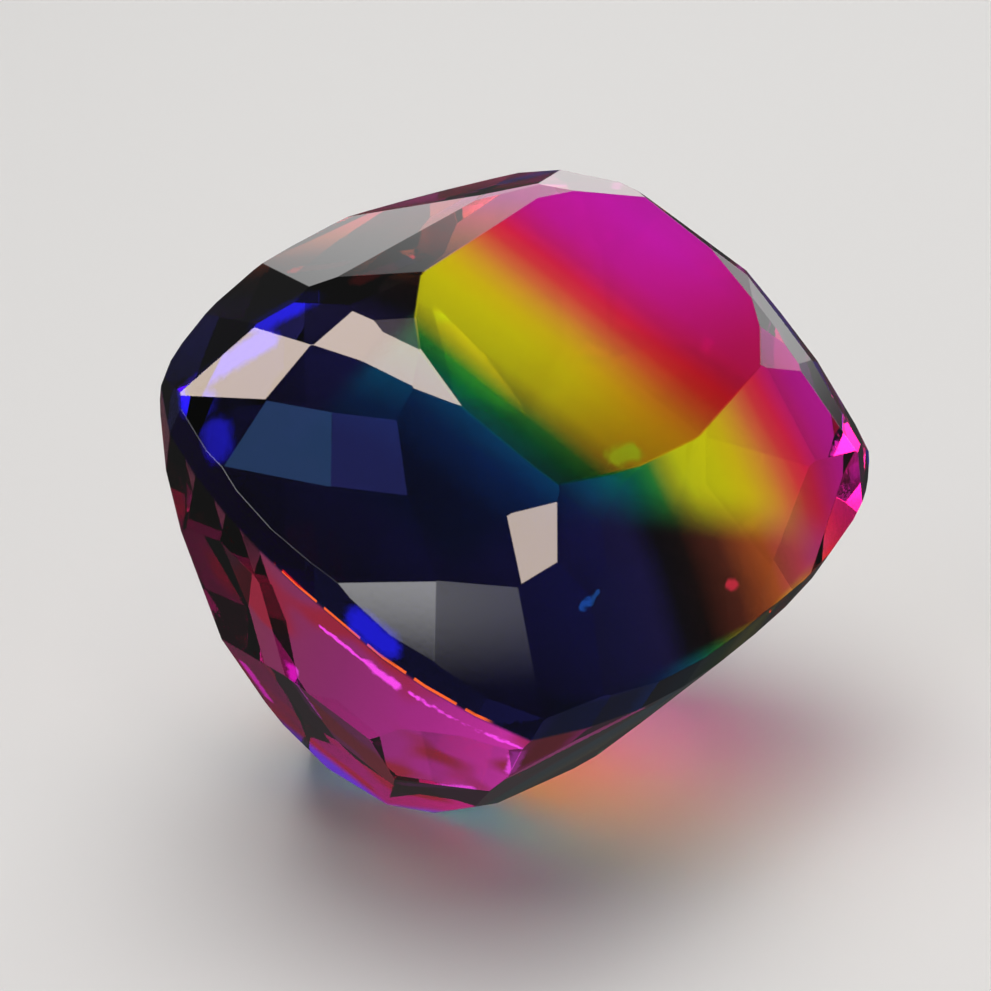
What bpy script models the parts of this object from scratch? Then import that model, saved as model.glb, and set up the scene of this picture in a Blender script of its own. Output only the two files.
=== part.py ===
"""Faceted tourmaline: a large cushion-cut stone lying on one of its pavilion facets.

The stone is cut the way a lapidary cuts it.  A block is trimmed by one flat
plane after another, and every facet is what one plane leaves behind.  A cut is
written (bearing, slope, reach): the compass bearing the facet faces in the
girdle plane, its slope from that plane, and the distance of its plane from the
middle of the girdle.  Degrees and millimetres.
"""

from math import atan2, cos, degrees, radians, sin

import bmesh
import bpy
from mathutils import Matrix, Vector

MM = 0.001

# Overall size of the cut stone
HALF_DIAGONAL = 20.0
TABLE_HEIGHT = 8.25
BLOCK_SIZE = 90.0

# Girdle: four corners joined by bowed sides, each side ground as narrow flats
CORNER_BEARINGS = (180.0, -104.3, 0.0, 75.7)
SIDE_BOWS = (2.75, 2.88, 2.75, 2.88)
BOW_POWER = 2.5
FLATS_PER_SIDE = 10
CORNER_FLATS = ((180.0, 19.44), (158.0, 18.22))
BREAK_SLOPE = 77.0
SIDES_FROM_A_ROUNDED_CORNER = (0, 2)

# Crown over the short sides, alike at both ends of the stone
SHORT_CROWN = (
    # corner kite, and the stars that carry it up to the table
    (-176.7, 39.2, 13.84),
    (178.5, 28.1, 12.10),
    (173.4, 22.1, 11.26),
    (-177.3, 26.0, 11.92),
    (-159.7, 15.4, 10.80),
    # upper mains beside the kite
    (-167.5, 35.6, 13.34),
    (-165.4, 34.7, 13.25),
    (-140.6, 27.8, 12.58),
    (-139.4, 26.8, 12.46),
    # middle row, from the kite round to the front corner
    (-159.4, 48.3, 15.40),
    (-152.7, 46.5, 14.90),
    (-150.4, 44.5, 14.63),
    (-136.5, 33.1, 13.25),
    (-134.6, 31.5, 13.10),
    (-126.5, 35.3, 13.81),
    # lower row above the girdle
    (-146.2, 53.9, 15.92),
    (-143.3, 51.6, 15.61),
    (-132.0, 38.6, 14.10),
    (-133.6, 61.4, 17.15),
    (-120.7, 55.2, 16.65),
)

# Crown over the long sides, the part that is alike on both
LONG_CROWN = (
    (-65.4, 20.5, 10.68),
    (-52.0, 36.6, 11.24),
    (169.4, 32.2, 12.47),
    (161.7, 22.4, 11.01),
    (144.6, 30.5, 11.23),
)

# Crown over the front long side only
FRONT_CROWN = (
    (-103.2, 46.4, 15.54),
    (-89.8, 48.1, 15.46),
    (-83.6, 30.0, 12.53),
    (-70.4, 23.0, 11.09),
    (-61.6, 45.4, 12.63),
    (-58.5, 32.0, 11.19),
    (-43.5, 30.0, 10.86),
    (-46.0, 45.5, 12.44),
    (-24.6, 53.9, 15.50),
)

# Crown over the back long side only
BACK_CROWN = (
    (76.8, 46.4, 15.30),
    (96.4, 30.0, 12.03),
    (118.4, 45.4, 12.19),
    (132.0, 33.0, 10.82),
    (131.1, 41.1, 11.39),
    (143.2, 47.4, 12.94),
    (155.4, 53.9, 14.82),
)

# Pavilion over the front half
FRONT_PAVILION = (
    # mains under the short sides
    (-147.0, 69.7, 17.74),
    (-138.7, 73.1, 17.71),
    (-112.9, 64.9, 18.20),
    # second tier
    (-136.0, 56.2, 17.68),
    (-105.4, 58.5, 18.35),
    (-147.1, 46.8, 19.40),
    # corners
    (-104.2, 68.1, 18.69),
    (-78.3, 58.9, 17.94),
    (168.4, 56.0, 16.31),
    (157.0, 62.0, 16.20),
    (172.0, 50.0, 17.50),
    (152.0, 45.0, 18.10),
    # mains under the long sides
    (-64.4, 72.4, 15.28),
    (-35.4, 66.6, 16.04),
)

# Pavilion over the back half, flatter so that light leaves through it
BACK_PAVILION = (
    # first tier, from the right corner round to the back one
    (-31.0, 66.0, 16.50),
    (-9.0, 58.0, 18.20),
    (9.0, 57.5, 18.10),
    (21.0, 60.5, 17.60),
    (36.0, 62.0, 16.90),
    (53.0, 60.5, 16.90),
    (71.0, 53.0, 16.80),
    (109.0, 64.0, 15.90),
    (134.0, 66.0, 15.80),
    (145.0, 68.0, 15.70),
    # second tier
    (-15.0, 51.5, 18.70),
    (42.0, 58.5, 16.20),
    (57.0, 52.0, 16.70),
    (90.0, 46.5, 16.20),
    (100.0, 45.5, 16.50),
    # third tier, down to the bottom
    (42.0, 40.0, 17.40),
    (69.0, 42.0, 17.30),
)

# The broad bottom facets, a pair half a turn apart, cut last; the stone lies on the first of them
RESTING_FACET = (-58.7, 32.3, 18.98)

# Way the stone is turned once it lies down
REST_TURN = 17.2

# Corners nearer than this are one corner, and a plane this near a corner runs through it
WELD = 0.012
CUT_TOUCH = 1e-5


def clear_scene():
    for item in list(bpy.data.objects):
        bpy.data.objects.remove(item, do_unlink=True)


def half_turn(cut):
    bearing, slope, reach = cut
    return (bearing + 180.0, slope, reach)


def facing(bearing, slope, upward):
    """Outward direction of a facet."""
    tilt = radians(slope)
    turn = radians(bearing)
    rise = cos(tilt) if upward else -cos(tilt)
    return Vector((sin(tilt) * cos(turn), sin(tilt) * sin(turn), rise))


def start_block():
    block = bmesh.new()
    bmesh.ops.create_cube(block, size=BLOCK_SIZE)
    return block


def grind(stone, outward, reach):
    """Take away everything beyond one flat plane and close the stone again."""
    cut = bmesh.ops.bisect_plane(
        stone,
        geom=stone.verts[:] + stone.edges[:] + stone.faces[:],
        dist=CUT_TOUCH,
        plane_co=outward * reach,
        plane_no=outward,
        clear_outer=True,
    )
    rim = [item for item in cut["geom_cut"] if isinstance(item, bmesh.types.BMEdge)]
    open_rim = [edge for edge in rim if edge.is_boundary]
    if open_rim:
        bmesh.ops.contextual_create(stone, geom=open_rim)


def corner_point(bearing):
    turn = radians(bearing)
    return Vector((cos(turn), sin(turn))) * HALF_DIAGONAL


def side_point(start, end, bow, share):
    """Point on a bowed side, share 0 at one corner and 1 at the next."""
    along = end - start
    outward = Vector((-along.y, along.x)).normalized()
    if outward.dot(start + end) < 0.0:
        outward = -outward
    bulge = bow * (1.0 - abs(2.0 * share - 1.0) ** BOW_POWER)
    return start + along * share + outward * bulge


def side_flats(side):
    """(bearing, reach) of the upright flats along one side of the girdle."""
    start = corner_point(CORNER_BEARINGS[side])
    end = corner_point(CORNER_BEARINGS[(side + 1) % len(CORNER_BEARINGS)])
    points = [
        side_point(start, end, SIDE_BOWS[side], step / FLATS_PER_SIDE)
        for step in range(FLATS_PER_SIDE + 1)
    ]
    if side in SIDES_FROM_A_ROUNDED_CORNER:
        points = points[1:]
    flats = []
    for first, second in zip(points, points[1:]):
        along = second - first
        outward = Vector((-along.y, along.x)).normalized()
        if outward.dot(first) < 0.0:
            outward = -outward
        flats.append((degrees(atan2(outward.y, outward.x)), outward.dot(first)))
    return flats


def girdle_flats():
    flats = []
    for side in range(len(CORNER_BEARINGS)):
        flats.extend(side_flats(side))
    for bearing, reach in CORNER_FLATS:
        flats.append((bearing, reach))
        flats.append((bearing + 180.0, reach))
    return flats


def grind_girdle(stone):
    """Upright flats, each with a narrow steep break facet below it."""
    break_share = sin(radians(BREAK_SLOPE))
    for bearing, reach in girdle_flats():
        grind(stone, facing(bearing, 90.0, True), reach)
        grind(stone, facing(bearing, BREAK_SLOPE, False), reach * break_share)


def grind_crown(stone):
    grind(stone, Vector((0.0, 0.0, 1.0)), TABLE_HEIGHT)
    twice = SHORT_CROWN + LONG_CROWN
    cuts = twice + tuple(half_turn(cut) for cut in twice) + FRONT_CROWN + BACK_CROWN
    for bearing, slope, reach in cuts:
        grind(stone, facing(bearing, slope, True), reach)


def grind_pavilion(stone):
    bottom = (RESTING_FACET, half_turn(RESTING_FACET))
    for bearing, slope, reach in FRONT_PAVILION + BACK_PAVILION + bottom:
        grind(stone, facing(bearing, slope, False), reach)


def lay_down(stone):
    """Turn the resting facet to face straight down and stand the stone on it."""
    bearing, slope, reach = RESTING_FACET
    to_floor = facing(bearing, slope, False).rotation_difference(Vector((0.0, 0.0, -1.0)))
    turned = Matrix.Rotation(radians(REST_TURN), 4, "Z") @ to_floor.to_matrix().to_4x4()
    stone.transform(Matrix.Scale(MM, 4) @ turned)
    xs = [vert.co.x for vert in stone.verts]
    ys = [vert.co.y for vert in stone.verts]
    middle = Vector(((min(xs) + max(xs)) / 2.0, (min(ys) + max(ys)) / 2.0, -reach * MM))
    stone.transform(Matrix.Translation(-middle))


def crystal_material():
    material = bpy.data.materials.new("tourmaline_crystal")
    material.use_nodes = True
    shader = material.node_tree.nodes["Principled BSDF"]
    shader.inputs["Base Color"].default_value = (0.62, 0.09, 0.36, 1.0)
    shader.inputs["Transmission Weight"].default_value = 1.0
    shader.inputs["Roughness"].default_value = 0.02
    shader.inputs["IOR"].default_value = 1.63
    return material


def make_stone():
    stone = start_block()
    grind_girdle(stone)
    grind_crown(stone)
    grind_pavilion(stone)
    bmesh.ops.remove_doubles(stone, verts=stone.verts[:], dist=WELD)
    bmesh.ops.dissolve_degenerate(stone, edges=stone.edges[:], dist=WELD)
    bmesh.ops.recalc_face_normals(stone, faces=stone.faces[:])
    lay_down(stone)
    mesh = bpy.data.meshes.new("tourmaline")
    stone.to_mesh(mesh)
    stone.free()
    mesh.materials.append(crystal_material())
    tourmaline = bpy.data.objects.new("tourmaline", mesh)
    bpy.context.collection.objects.link(tourmaline)
    return tourmaline


clear_scene()
make_stone()
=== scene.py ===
"""A large cushion-cut tourmaline, banded in colour, lying on one of its pavilion facets.

The solid comes from the frame and keeps its facets.  This script gives it the
crystal's colour zones and its polish, and sets a pale floor, soft studio light
and the camera round it.  Lengths are millimetres until they reach Blender.
"""

from math import cos, radians, sin

import bpy
from mathutils import Euler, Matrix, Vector

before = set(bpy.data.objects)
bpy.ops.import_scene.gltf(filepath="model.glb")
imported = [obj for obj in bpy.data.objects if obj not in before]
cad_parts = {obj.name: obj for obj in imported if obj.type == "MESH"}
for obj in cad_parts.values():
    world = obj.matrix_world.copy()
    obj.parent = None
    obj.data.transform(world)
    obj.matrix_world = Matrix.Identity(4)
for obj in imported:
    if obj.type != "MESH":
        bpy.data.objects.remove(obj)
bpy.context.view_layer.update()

MM = 0.001
STONE = "tourmaline"

# Where the stone lies: the middle of its girdle, and the way its table faces
GIRDLE_MIDDLE = Vector((-0.276, 0.130, 18.98))
TABLE_FACES = Vector((0.4002, -0.3541, 0.8453))

# The colour bands run across the stone, square to this direction
ACROSS_BANDS = Vector((0.5336, 0.8399, 0.0992))
ALONG_BANDS = Vector((-0.745, 0.411, 0.525))

# The front long side faces this way
OUT_OF_FRONT = Vector((0.4217, -0.7478, -0.5128))

# What each band of the crown lets through, by its distance across the stone
CROWN_BANDS = (
    (-18.0, "#050b28"),
    (-14.8, "#050f34"),
    (-13.4, "#06285c"),
    (-12.3, "#04507c"),
    (-11.2, "#046c78"),
    (-10.2, "#067c50"),
    (-9.2, "#2c9a3c"),
    (-8.1, "#acc224"),
    (-7.0, "#dcf016"),
    (-4.8, "#f0fa0e"),
    (-3.2, "#fcee16"),
    (-1.7, "#ffc434"),
    (-0.5, "#ff8a48"),
    (0.7, "#ff4a4c"),
    (1.8, "#ff2b58"),
    (3.2, "#e82088"),
    (5.0, "#e81cb4"),
    (9.0, "#ea1ed0"),
    (14.0, "#d426bc"),
)

# The pavilion under the blue end, from the left corner along to the front one
PAVILION_COLOURS = (
    (-12.0, "#d034ac"),
    (-7.0, "#a62c86"),
    (-2.0, "#8a2c6a"),
    (3.0, "#803454"),
    (9.0, "#743c4c"),
)

# Ends of the two colour scales, measured from the middle of the stone
BAND_START = -20.0
BAND_END = 20.0

# Beyond that side the pavilion is nearly clear, with pale bands under those of the crown
PALE_BANDS = (
    (-13.0, "#52bcff"),
    (-7.0, "#62d4f4"),
    (-4.0, "#f2f08c"),
    (0.0, "#fff0a8"),
    (3.0, "#ffecd0"),
    (9.0, "#fff6fc"),
)
PALE_STARTS = -9.6
PALE_ENDS = -8.2

# The pavilion's colour gives way to the crown's just under the girdle
PAVILION_ENDS = -0.30
CROWN_STARTS = 0.05

# Painted shade: the rims of the crown are drawn darker, each band in its own way
FRONT_RIM = (9.6, 12.0)
BACK_RIM = (4.6, 6.0)
LEFT_RIM = (-15.6, -16.8)
RIM_FOOT = (1.9, 2.6)
RIM_SHADE_BANDS = (
    (-18.0, "#0a0a30"),
    (-12.0, "#141650"),
    (-9.6, "#1c1a50"),
    (-8.0, "#0c0a14"),
    (-6.5, "#180c0a"),
    (-4.0, "#5c2c1c"),
    (-0.8, "#c46428"),
    (2.0, "#f0586a"),
    (5.0, "#e040b0"),
)

# Painted gleams: light thrown up from inside, painted into the stone's colour. Each has its colour,
# half width in millimetres, and the streaks it lies on, each between two spots on the stone in pixels
# of the front view
PAINTED_GLEAMS = (
    ("#2222ff", 0.68, (
        ((262, 322), (308, 299)),
        ((192, 402), (202, 402)),
        ((216, 432), (217, 447)),
        ((360, 622), (386, 644)),
    )),
    ("#3028ff", 0.60, (
        ((190, 385), (265, 340)),
    )),
    ("#1c58b8", 0.16, (
        ((583, 607), (597, 593)),
    )),
    ("#c83848", 0.46, (
        ((360, 280), (415, 258)),
        ((296, 270), (340, 264)),
    )),
    ("#e83c50", 0.26, (
        ((730, 585), (735, 583)),
    )),
    ("#c8f81c", 0.50, (
        ((616, 458), (632, 451)),
    )),
    ("#ff50f4", 0.32, (
        ((245, 665), (268, 698)),
        ((292, 668), (316, 714)),
        ((402, 784), (470, 788)),
        ((372, 667), (395, 684)),
        ((518, 754), (511, 772)),
    )),
    ("#ff50f4", 0.14, (
        ((322, 628), (372, 667)),
        ((410, 693), (520, 748)),
    )),
)
# A gleam fades between these shares of its half width, and strays this far from its streak
GLEAM_EDGE = (1.5, 0.5)
GLEAM_STRAY = 0.4

# Painted glints: bright orange dashes along the lower edge of the girdle, on the side under the blue
# end
GIRDLE_GLINT_COLOUR = "#ff7030"
GIRDLE_GLINT_HEIGHT = 0.10
GIRDLE_GLINT_LENGTH = 1.3
GIRDLE_GLINT_GAP = (0.20, 0.24)
GIRDLE_GLINT_REACH = ((3.0, 2.4), (-9.4, -8.8))
GIRDLE_GLINT_SIDE = (-15.0, -15.6)

# Past the edge of the table the bands are seen through steeper facets and step aside
TABLE_EDGE = (8.23, 8.19)
TABLE_STEP = 1.6
STEP_STARTS = (-18.0, -7.0)

# Each facet bends the bands aside by its own turn; this is the most, edge on
FACET_STEP = 2.4

# Towards the front of the table the crystal is warmer in colour
WARM_END = (2.0, -7.0)
WARM_TINT = "#eebe8c"

# Waves in the bands
WAVE_SIZE = 9.0
WAVE_DEPTH = 0.9
WAVE_DETAIL = 1.0

# Dark red blotches in the pavilion
BLOTCH_SIZE = 5.0
BLOTCH_DETAIL = 1.5
BLOTCH_EDGE = (0.48, 0.62)
BLOTCH_COLOUR = "#96263c"

# What the crystal takes from light on its way through, the same all over
DEPTH_COLOUR = "#fbf7fa"
DEPTH_DENSITY = 60.0

# Polishing lines: their width, stretch, turn and depth, and how rough the worn ones are.
# Real ones are finer than 0.01 mm and wouldn't show, so they are drawn wider
LINE_WIDTH = 0.35
LINE_STRETCH = 0.05
LINE_TURN = (0.3, 0.5, 0.9)
LINE_DETAIL = 1.0
LINE_DEPTH = 0.0003
LINE_ROUGHNESS = 0.06
WORN_LINES = (0.57, 0.76)

# The slightly rounded facet edges
EDGE_RADIUS = 0.07
EDGE_SAMPLES = 4

CRYSTAL_IOR = 1.63
POLISH_ROUGHNESS = 0.0

# The camera of the front view, and how many pixels wide and high that view is
CAMERA_PLACE = (-2.036, -113.831, 61.716)
CAMERA_TURN = (68.082, 1.852, -0.703)
CAMERA_LENS = 87.185
SENSOR_WIDTH = 36.0
NEAREST_SEEN = 10.0
VIEW_SIZE = 991

FLOOR_SIZE = 6000.0
FLOOR_COLOUR = "#e8e8e8"
FLOOR_ROUGHNESS = 0.6

# The room's even brightness, and its glows: the azimuth each lies at, its soft edge as cosines
# of the angle from there, the heights where it starts and ends, and its radiance
ROOM_COLOUR = "#ffffff"
ROOM_RADIANCE = 0.05
ROOM_GLOWS = (
    (17.0, (0.80, 0.90), ((-0.10, 0.0), (0.60, 0.50)), 1.15),
    (17.5, (0.955, 0.980), ((-0.66, -0.58), (-0.38, -0.42)), 2.0),
    (-110.0, (0.906, 0.966), ((-0.02, 0.03), (0.42, 0.32)), 5.0),
    (-143.1, (0.70, 0.99), ((0.095, 0.139), (0.30, 0.16)), 4.2),
)

# Watts that give one square metre of softbox a radiance of one
AREA_LIGHT_WATTS = 4.0
WARM_LIGHT = "#ffe9d8"
SOFT_LIGHT = "#fbf9f6"
PLAIN_LIGHT = "#ffffff"

# Softboxes overhead, facing straight down
OVERHEAD_BOXES = (
    dict(
        name="overhead_softbox", middle=(-86.0, 134.0, 626.0), size=(608.0, 164.0),
        radiance=6.6, colour=WARM_LIGHT, on_floor=False,
    ),
    dict(
        name="key_softbox", middle=(-150.0, 350.0, 900.0), size=(700.0, 500.0),
        radiance=1.4, colour=SOFT_LIGHT, mirrored=False,
    ),
    dict(
        name="overhead_edge", middle=(0.0, 246.0, 626.0), size=(160.0, 56.0),
        radiance=0.55, colour=WARM_LIGHT,
    ),
    dict(
        name="ceiling_fill", middle=(0.0, 0.0, 1500.0), size=(1500.0, 1500.0),
        radiance=1.8, colour=SOFT_LIGHT, mirrored=False,
    ),
)

# Softboxes round the stone, facing it from an azimuth, an elevation and a distance
BOXES_ROUND_STONE = (
    dict(
        name="front_softbox", azimuth=160.8, elevation=46.3, distance=500.0, size=(70.0, 60.0),
        radiance=6.6, colour=WARM_LIGHT,
    ),
    dict(
        name="blue_panel", azimuth=-129.5, elevation=50.0, distance=600.0, size=(66.0, 100.0),
        radiance=1.2, colour="#6ca8ff",
    ),
    dict(
        name="violet_panel", azimuth=-140.0, elevation=50.0, distance=600.0, size=(66.0, 100.0),
        radiance=0.8, colour="#6f74ff",
    ),
    dict(
        name="side_panel", azimuth=115.0, elevation=16.0, distance=500.0, size=(300.0, 150.0),
        radiance=1.0, colour=PLAIN_LIGHT, mirrored=False,
    ),
)


def linear(hex_colour):
    """An sRGB hex colour as linear RGBA, by the sRGB curve."""
    channels = [int(hex_colour[i:i + 2], 16) / 255.0 for i in (1, 3, 5)]
    low = 0.04045
    straight = [c / 12.92 if c <= low else ((c + 0.055) / 1.055) ** 2.4 for c in channels]
    return (*straight, 1.0)


def add_node(tree, kind, settings=None, inputs=None):
    """A node with its settings, and its inputs set to values or joined to sockets."""
    node = tree.nodes.new(kind)
    for name, value in (settings or {}).items():
        setattr(node, name, value)
    for name, value in (inputs or {}).items():
        if isinstance(value, bpy.types.NodeSocket):
            tree.links.new(value, node.inputs[name])
        else:
            node.inputs[name].default_value = value
    return node


def place_on_stone(tree, point, direction):
    """Millimetres of a surface point from the middle of the girdle, along a direction."""
    way = direction.normalized()
    along = add_node(
        tree, "ShaderNodeVectorMath", {"operation": "DOT_PRODUCT"}, {0: point, 1: way / MM}
    )
    return add_node(
        tree,
        "ShaderNodeMath",
        {"operation": "SUBTRACT"},
        {0: along.outputs["Value"], 1: way.dot(GIRDLE_MIDDLE)},
    ).outputs[0]


def bands_of_colour(tree, place, bands):
    """The colour that a scale of bands gives at a place, in millimetres."""
    share = add_node(
        tree,
        "ShaderNodeMapRange",
        inputs={"Value": place, "From Min": BAND_START, "From Max": BAND_END},
    )
    ramp = add_node(tree, "ShaderNodeValToRGB", inputs={"Fac": share.outputs["Result"]})
    stops = ramp.color_ramp.elements
    stops.remove(stops[1])
    for number, (at, colour) in enumerate(bands):
        where = (at - BAND_START) / (BAND_END - BAND_START)
        stop = stops.new(where) if number else stops[0]
        stop.position = where
        stop.color = linear(colour)
    return ramp.outputs["Color"]


def soft_edge(tree, place, edge):
    """From 0 at the first place of an edge to 1 at the second, smoothly."""
    return add_node(
        tree,
        "ShaderNodeMapRange",
        {"interpolation_type": "SMOOTHSTEP"},
        {"Value": place, "From Min": edge[0], "From Max": edge[1]},
    ).outputs["Result"]


def lay_over(tree, share, ground, laid):
    """One colour laid over another: the ground where the share is 0, the laid one where it is 1."""
    return add_node(
        tree, "ShaderNodeMix", {"data_type": "RGBA"}, {0: share, 6: ground, 7: laid}
    ).outputs[2]


def crown_colour(tree, point, across, along, height):
    """Bands straight across the stone, a little wavy as they grew, with painted shade darkening the
    rims.
    """
    wave = add_node(
        tree,
        "ShaderNodeTexNoise",
        inputs={"Vector": point, "Scale": 1.0 / (WAVE_SIZE * MM), "Detail": WAVE_DETAIL},
    )
    wavy = add_node(
        tree,
        "ShaderNodeMath",
        {"operation": "MULTIPLY_ADD"},
        {0: wave.outputs["Fac"], 1: WAVE_DEPTH, 2: across},
    )
    level = add_node(
        tree, "ShaderNodeMath", {"operation": "SUBTRACT"}, {0: wavy.outputs[0], 1: WAVE_DEPTH / 2.0}
    )
    beside_table = soft_edge(tree, height, TABLE_EDGE)
    stepping = soft_edge(tree, across, STEP_STARTS)
    step = add_node(
        tree, "ShaderNodeMath", {"operation": "MULTIPLY"}, {0: beside_table, 1: stepping}
    )
    stepped = add_node(
        tree,
        "ShaderNodeMath",
        {"operation": "MULTIPLY_ADD"},
        {0: step.outputs[0], 1: -TABLE_STEP, 2: level.outputs[0]},
    )
    facet = add_node(tree, "ShaderNodeNewGeometry").outputs["True Normal"]
    turned = add_node(
        tree, "ShaderNodeVectorMath", {"operation": "DOT_PRODUCT"}, {0: facet, 1: ALONG_BANDS}
    )
    faceted = add_node(
        tree,
        "ShaderNodeMath",
        {"operation": "MULTIPLY_ADD"},
        {0: turned.outputs["Value"], 1: FACET_STEP, 2: stepped.outputs[0]},
    )
    zoned = bands_of_colour(tree, faceted.outputs[0], CROWN_BANDS)
    in_table = soft_edge(tree, height, TABLE_EDGE[::-1])
    warming = add_node(
        tree,
        "ShaderNodeMath",
        {"operation": "MULTIPLY"},
        {0: in_table, 1: soft_edge(tree, along, WARM_END)},
    )
    bands = add_node(
        tree,
        "ShaderNodeMix",
        {"data_type": "RGBA", "blend_type": "MULTIPLY"},
        {0: warming.outputs[0], 6: zoned, 7: linear(WARM_TINT)},
    ).outputs[2]
    front = soft_edge(tree, place_on_stone(tree, point, OUT_OF_FRONT), FRONT_RIM)
    back = soft_edge(tree, along, BACK_RIM)
    left = soft_edge(tree, across, LEFT_RIM)
    foot = soft_edge(tree, height, RIM_FOOT)
    front_above_foot = add_node(
        tree, "ShaderNodeMath", {"operation": "MULTIPLY"}, {0: front, 1: foot}
    )
    long_sides = add_node(
        tree, "ShaderNodeMath", {"operation": "MAXIMUM"}, {0: front_above_foot.outputs[0], 1: back}
    )
    rims = add_node(
        tree, "ShaderNodeMath", {"operation": "MAXIMUM"}, {0: long_sides.outputs[0], 1: left}
    )
    rim_shade_share = add_node(
        tree, "ShaderNodeMath", {"operation": "MULTIPLY"}, {0: rims.outputs[0], 1: beside_table}
    )
    # Painted shade: the rims take darkened colours of their bands
    dark = bands_of_colour(tree, across, RIM_SHADE_BANDS)
    return lay_over(tree, rim_shade_share.outputs[0], bands, dark)


def pavilion_colour(tree, point, across, along):
    """Magenta under the blue end, blotched with dark red, and nearly clear beyond it."""
    magenta = bands_of_colour(tree, along, PAVILION_COLOURS)
    blotches = add_node(
        tree,
        "ShaderNodeTexNoise",
        inputs={"Vector": point, "Scale": 1.0 / (BLOTCH_SIZE * MM), "Detail": BLOTCH_DETAIL},
    )
    blotch = soft_edge(tree, blotches.outputs["Fac"], BLOTCH_EDGE)
    blotched = lay_over(tree, blotch, magenta, linear(BLOTCH_COLOUR))
    pale = bands_of_colour(tree, across, PALE_BANDS)
    beyond = soft_edge(tree, across, (PALE_STARTS, PALE_ENDS))
    return lay_over(tree, beyond, blotched, pale)


def place_seen_at(stone, spot):
    """The place on the stone's surface, in millimetres, that the front view shows at a spot."""
    pixels_per_slope = CAMERA_LENS / SENSOR_WIDTH * VIEW_SIZE
    right = (spot[0] - VIEW_SIZE / 2.0) / pixels_per_slope
    up = (VIEW_SIZE / 2.0 - spot[1]) / pixels_per_slope
    turn = Euler([radians(angle) for angle in CAMERA_TURN]).to_matrix()
    met, place, _, _ = stone.ray_cast(Vector(CAMERA_PLACE) * MM, turn @ Vector((right, up, -1.0)))
    if not met:
        raise ValueError(f"no stone at {spot} in the front view")
    return place / MM


def off_streak(tree, place, start, end):
    """How far a place is from a straight streak between two points, all in millimetres."""
    way = end - start
    from_start = add_node(
        tree, "ShaderNodeVectorMath", {"operation": "SUBTRACT"}, {0: place, 1: start}
    ).outputs["Vector"]
    passed = add_node(
        tree,
        "ShaderNodeVectorMath",
        {"operation": "DOT_PRODUCT"},
        {0: from_start, 1: way / way.length_squared},
    )
    held = add_node(tree, "ShaderNodeClamp", inputs={"Value": passed.outputs["Value"]})
    nearest = add_node(
        tree, "ShaderNodeVectorMath", {"operation": "SCALE"}, {0: way, "Scale": held.outputs[0]}
    )
    return add_node(
        tree,
        "ShaderNodeVectorMath",
        {"operation": "DISTANCE"},
        {0: from_start, 1: nearest.outputs["Vector"]},
    ).outputs["Value"]


def add_painted_gleams(tree, stone, point, ragged, colour):
    """The zones of colour with painted gleams of light on them, a little ragged at their edges."""
    moved = add_node(
        tree,
        "ShaderNodeVectorMath",
        {"operation": "MULTIPLY_ADD"},
        {0: ragged, 1: [GLEAM_STRAY] * 3, 2: [-GLEAM_STRAY / 2.0] * 3},
    )
    place = add_node(
        tree,
        "ShaderNodeVectorMath",
        {"operation": "MULTIPLY_ADD"},
        {0: point, 1: [1.0 / MM] * 3, 2: moved.outputs["Vector"]},
    ).outputs["Vector"]
    for gleam, width, streaks in PAINTED_GLEAMS:
        ends = [[place_seen_at(stone, spot) for spot in streak] for streak in streaks]
        off = off_streak(tree, place, *ends[0])
        for start, end in ends[1:]:
            next_off = off_streak(tree, place, start, end)
            off = add_node(
                tree, "ShaderNodeMath", {"operation": "MINIMUM"}, {0: off, 1: next_off}
            ).outputs[0]
        share = soft_edge(tree, off, [width * edge for edge in GLEAM_EDGE])
        colour = lay_over(tree, share, colour, linear(gleam))
    return colour


def add_girdle_glints(tree, across, height, along, colour):
    """A broken bright line of painted glints along the lower edge of the girdle."""
    share = add_node(
        tree, "ShaderNodeMath", {"operation": "COMPARE"}, {0: height, 1: 0.0, 2: GIRDLE_GLINT_HEIGHT}
    ).outputs[0]
    marks = add_node(
        tree, "ShaderNodeMath", {"operation": "PINGPONG"}, {0: along, 1: GIRDLE_GLINT_LENGTH}
    ).outputs[0]
    for place, edge in (
        (marks, GIRDLE_GLINT_GAP),
        (across, GIRDLE_GLINT_SIDE),
        (along, GIRDLE_GLINT_REACH[0]),
        (along, GIRDLE_GLINT_REACH[1]),
    ):
        share = add_node(
            tree,
            "ShaderNodeMath",
            {"operation": "MULTIPLY"},
            {0: share, 1: soft_edge(tree, place, edge)},
        ).outputs[0]
    return lay_over(tree, share, colour, linear(GIRDLE_GLINT_COLOUR))


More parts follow.
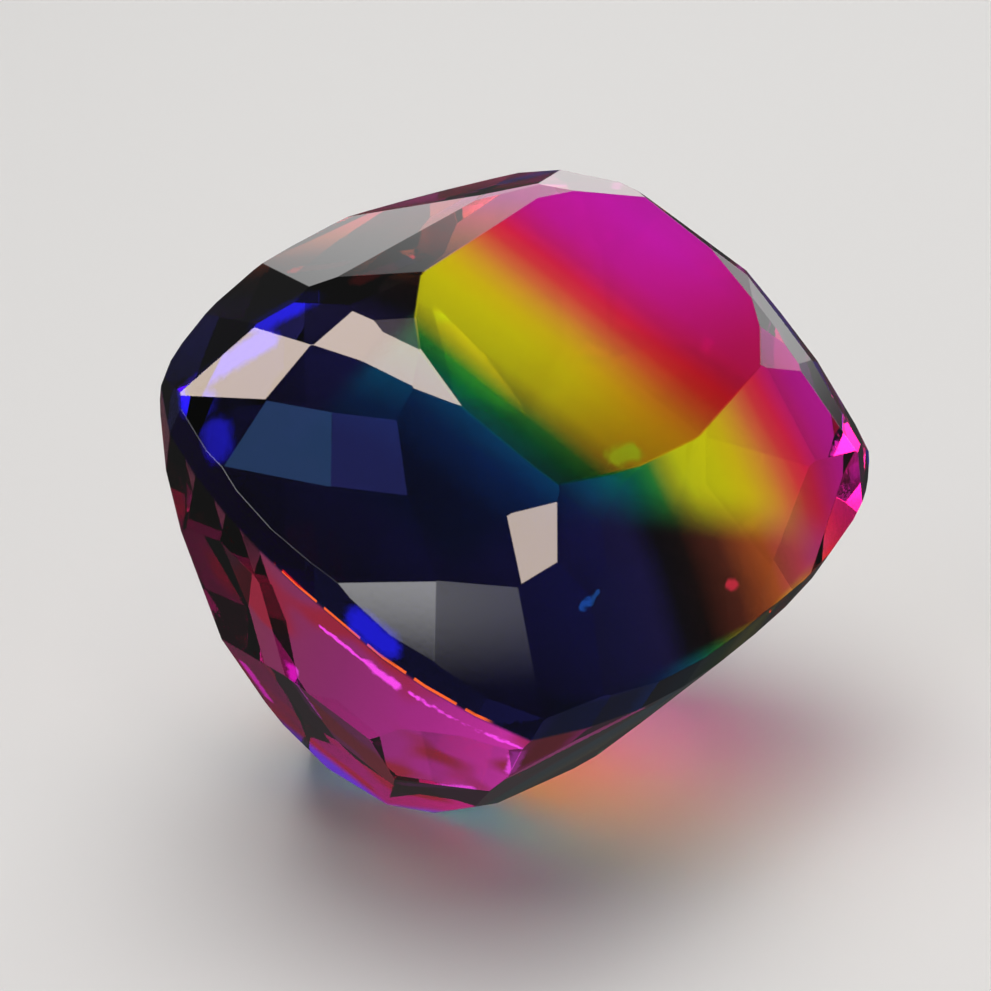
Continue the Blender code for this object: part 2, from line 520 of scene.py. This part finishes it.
def tourmaline_crystal(stone):
    """Tourmaline, cut on a lap and polished with fine diamond.

    The polish makes every facet a sharp mirror over a clear and deeply coloured inside.
    """
    material = bpy.data.materials.new("tourmaline_crystal")
    material.use_nodes = True
    tree = material.node_tree
    shader = tree.nodes["Principled BSDF"]
    point = add_node(tree, "ShaderNodeTexCoord").outputs["Object"]
    across = place_on_stone(tree, point, ACROSS_BANDS)
    height = place_on_stone(tree, point, TABLE_FACES)
    along = place_on_stone(tree, point, ALONG_BANDS)
    scratches = lap_lines(tree, point)
    crown = crown_colour(tree, point, across, along, height)
    pavilion = pavilion_colour(tree, point, across, along)
    above_girdle = soft_edge(tree, height, (PAVILION_ENDS, CROWN_STARTS))
    zones = lay_over(tree, above_girdle, pavilion, crown)
    # Painted glints: orange dashes along the girdle's lower edge
    with_girdle_glints = add_girdle_glints(tree, across, height, along, zones)
    # Painted gleams: streaks of reflected light laid on the colour
    with_painted_gleams = add_painted_gleams(tree, stone, point, scratches.outputs["Color"], with_girdle_glints)
    # A crossing takes the square root of this colour, so the square of the band is what shows
    deep = add_node(tree, "ShaderNodeGamma", inputs={"Color": with_painted_gleams, "Gamma": 2.0})
    tree.links.new(deep.outputs["Color"], shader.inputs["Base Color"])
    shader.inputs["Transmission Weight"].default_value = 1.0
    shader.inputs["IOR"].default_value = CRYSTAL_IOR
    polish(tree, scratches.outputs["Fac"], shader)
    depth = add_node(
        tree,
        "ShaderNodeVolumeAbsorption",
        inputs={"Color": linear(DEPTH_COLOUR), "Density": DEPTH_DENSITY},
    )
    tree.links.new(depth.outputs["Volume"], tree.nodes["Material Output"].inputs["Volume"])
    return material


def lap_lines(tree, point):
    """Fine lines left by the lap, drawn wider than real ones so that they show."""
    lines = add_node(
        tree,
        "ShaderNodeMapping",
        inputs={"Vector": point, "Rotation": LINE_TURN, "Scale": (1.0, LINE_STRETCH, 1.0)},
    )
    return add_node(
        tree,
        "ShaderNodeTexNoise",
        inputs={
            "Vector": lines.outputs["Vector"],
            "Scale": 1.0 / (LINE_WIDTH * MM),
            "Detail": LINE_DETAIL,
        },
    )


def polish(tree, lines, shader):
    """A bright polish, duller along the lap's lines, and facet edges a little rounded."""
    worn = soft_edge(tree, lines, WORN_LINES)
    rough = add_node(
        tree,
        "ShaderNodeMapRange",
        inputs={"Value": worn, "To Min": POLISH_ROUGHNESS, "To Max": LINE_ROUGHNESS},
    )
    tree.links.new(rough.outputs["Result"], shader.inputs["Roughness"])
    edges = add_node(tree, "ShaderNodeBevel", {"samples": EDGE_SAMPLES}, {"Radius": EDGE_RADIUS * MM})
    bump = add_node(
        tree,
        "ShaderNodeBump",
        inputs={
            "Strength": 1.0,
            "Distance": LINE_DEPTH * MM,
            "Height": lines,
            "Normal": edges.outputs["Normal"],
        },
    )
    tree.links.new(bump.outputs["Normal"], shader.inputs["Normal"])


def floor_paint():
    """Matt white emulsion rolled on a flat board: even and pale, with no highlights."""
    material = bpy.data.materials.new("matt_floor_paint")
    material.use_nodes = True
    shader = material.node_tree.nodes["Principled BSDF"]
    shader.inputs["Base Color"].default_value = linear(FLOOR_COLOUR)
    shader.inputs["Roughness"].default_value = FLOOR_ROUGHNESS
    return material


def make_floor():
    mesh = bpy.data.meshes.new("floor")
    half = FLOOR_SIZE / 2.0 * MM
    corners = [(-half, -half, 0.0), (half, -half, 0.0), (half, half, 0.0), (-half, half, 0.0)]
    mesh.from_pydata(corners, [], [(0, 1, 2, 3)])
    mesh.materials.append(floor_paint())
    floor = bpy.data.objects.new("floor", mesh)
    bpy.context.collection.objects.link(floor)
    floor.visible_glossy = False


def direction(azimuth, elevation):
    """Unit vector to a place in the studio; azimuth 0 is behind the stone and 90 to its right."""
    level = cos(radians(elevation))
    return Vector((
        level * sin(radians(azimuth)),
        level * cos(radians(azimuth)),
        sin(radians(elevation)),
    ))


def softbox(name, middle, towards, size, radiance, colour, mirrored=True, on_floor=True):
    """A plain rectangular light, as bright all over as radiance says."""
    light = bpy.data.lights.new(name, "AREA")
    light.shape = "RECTANGLE"
    light.size = size[0] * MM
    light.size_y = size[1] * MM
    light.energy = radiance * light.size * light.size_y * AREA_LIGHT_WATTS
    light.color = linear(colour)[:3]
    box = bpy.data.objects.new(name, light)
    box.location = Vector(middle) * MM
    box.rotation_euler = towards.to_track_quat("-Z", "Y").to_euler()
    box.visible_glossy = mirrored
    box.visible_diffuse = on_floor
    bpy.context.collection.objects.link(box)


def light_studio():
    """A softbox over the stone, softer fill round it, and panels that its facets mirror.

    A box that isn't mirrored lights the stone and the floor without being seen in a facet.
    """
    straight_down = Vector((0.0, 0.0, -1.0))
    for box in OVERHEAD_BOXES:
        softbox(towards=straight_down, **box)
    for box in BOXES_ROUND_STONE:
        rest = dict(box)
        middle = direction(rest.pop("azimuth"), rest.pop("elevation")) * rest.pop("distance")
        softbox(middle=middle, towards=GIRDLE_MIDDLE - middle, **rest)


def glow(tree, way, towards, edge, heights):
    """From 0 to 1: how far a direction lies towards a bearing, between soft upper and lower edges."""
    facing = add_node(
        tree, "ShaderNodeVectorMath", {"operation": "DOT_PRODUCT"}, {0: way, 1: towards}
    )
    parts = add_node(tree, "ShaderNodeSeparateXYZ", inputs={"Vector": way})
    glowing = soft_edge(tree, facing.outputs["Value"], edge)
    for low, high in heights:
        level = soft_edge(tree, parts.outputs["Z"], (low, high))
        glowing = add_node(
            tree, "ShaderNodeMath", {"operation": "MULTIPLY"}, {0: glowing, 1: level}
        ).outputs[0]
    return glowing


def make_world():
    """A dim room: a pale wall and a low glow behind the stone, and two glows at its left and front."""
    world = bpy.data.worlds.new("dim_studio")
    world.use_nodes = True
    tree = world.node_tree
    way = add_node(tree, "ShaderNodeTexCoord").outputs["Generated"]
    brightness = ROOM_RADIANCE
    for azimuth, edge, heights, radiance in ROOM_GLOWS:
        share = glow(tree, way, direction(azimuth, 0.0), edge, heights)
        brightness = add_node(
            tree,
            "ShaderNodeMath",
            {"operation": "MULTIPLY_ADD"},
            {0: share, 1: radiance, 2: brightness},
        ).outputs[0]
    background = tree.nodes["Background"]
    background.inputs["Color"].default_value = linear(ROOM_COLOUR)
    tree.links.new(brightness, background.inputs["Strength"])
    bpy.context.scene.world = world


def make_camera():
    camera = bpy.data.objects.new("camera", bpy.data.cameras.new("camera"))
    camera.location = Vector(CAMERA_PLACE) * MM
    camera.rotation_euler = Euler([radians(turn) for turn in CAMERA_TURN])
    camera.data.lens = CAMERA_LENS
    camera.data.sensor_width = SENSOR_WIDTH
    camera.data.clip_start = NEAREST_SEEN * MM
    bpy.context.collection.objects.link(camera)
    bpy.context.scene.camera = camera


def dress_stone():
    stone = bpy.data.objects[STONE]
    crystal = tourmaline_crystal(stone)
    for slot in stone.material_slots:
        slot.material = crystal


make_camera()
make_floor()
make_world()
light_studio()
dress_stone()
bpy.context.scene.view_settings.view_transform = "Standard"
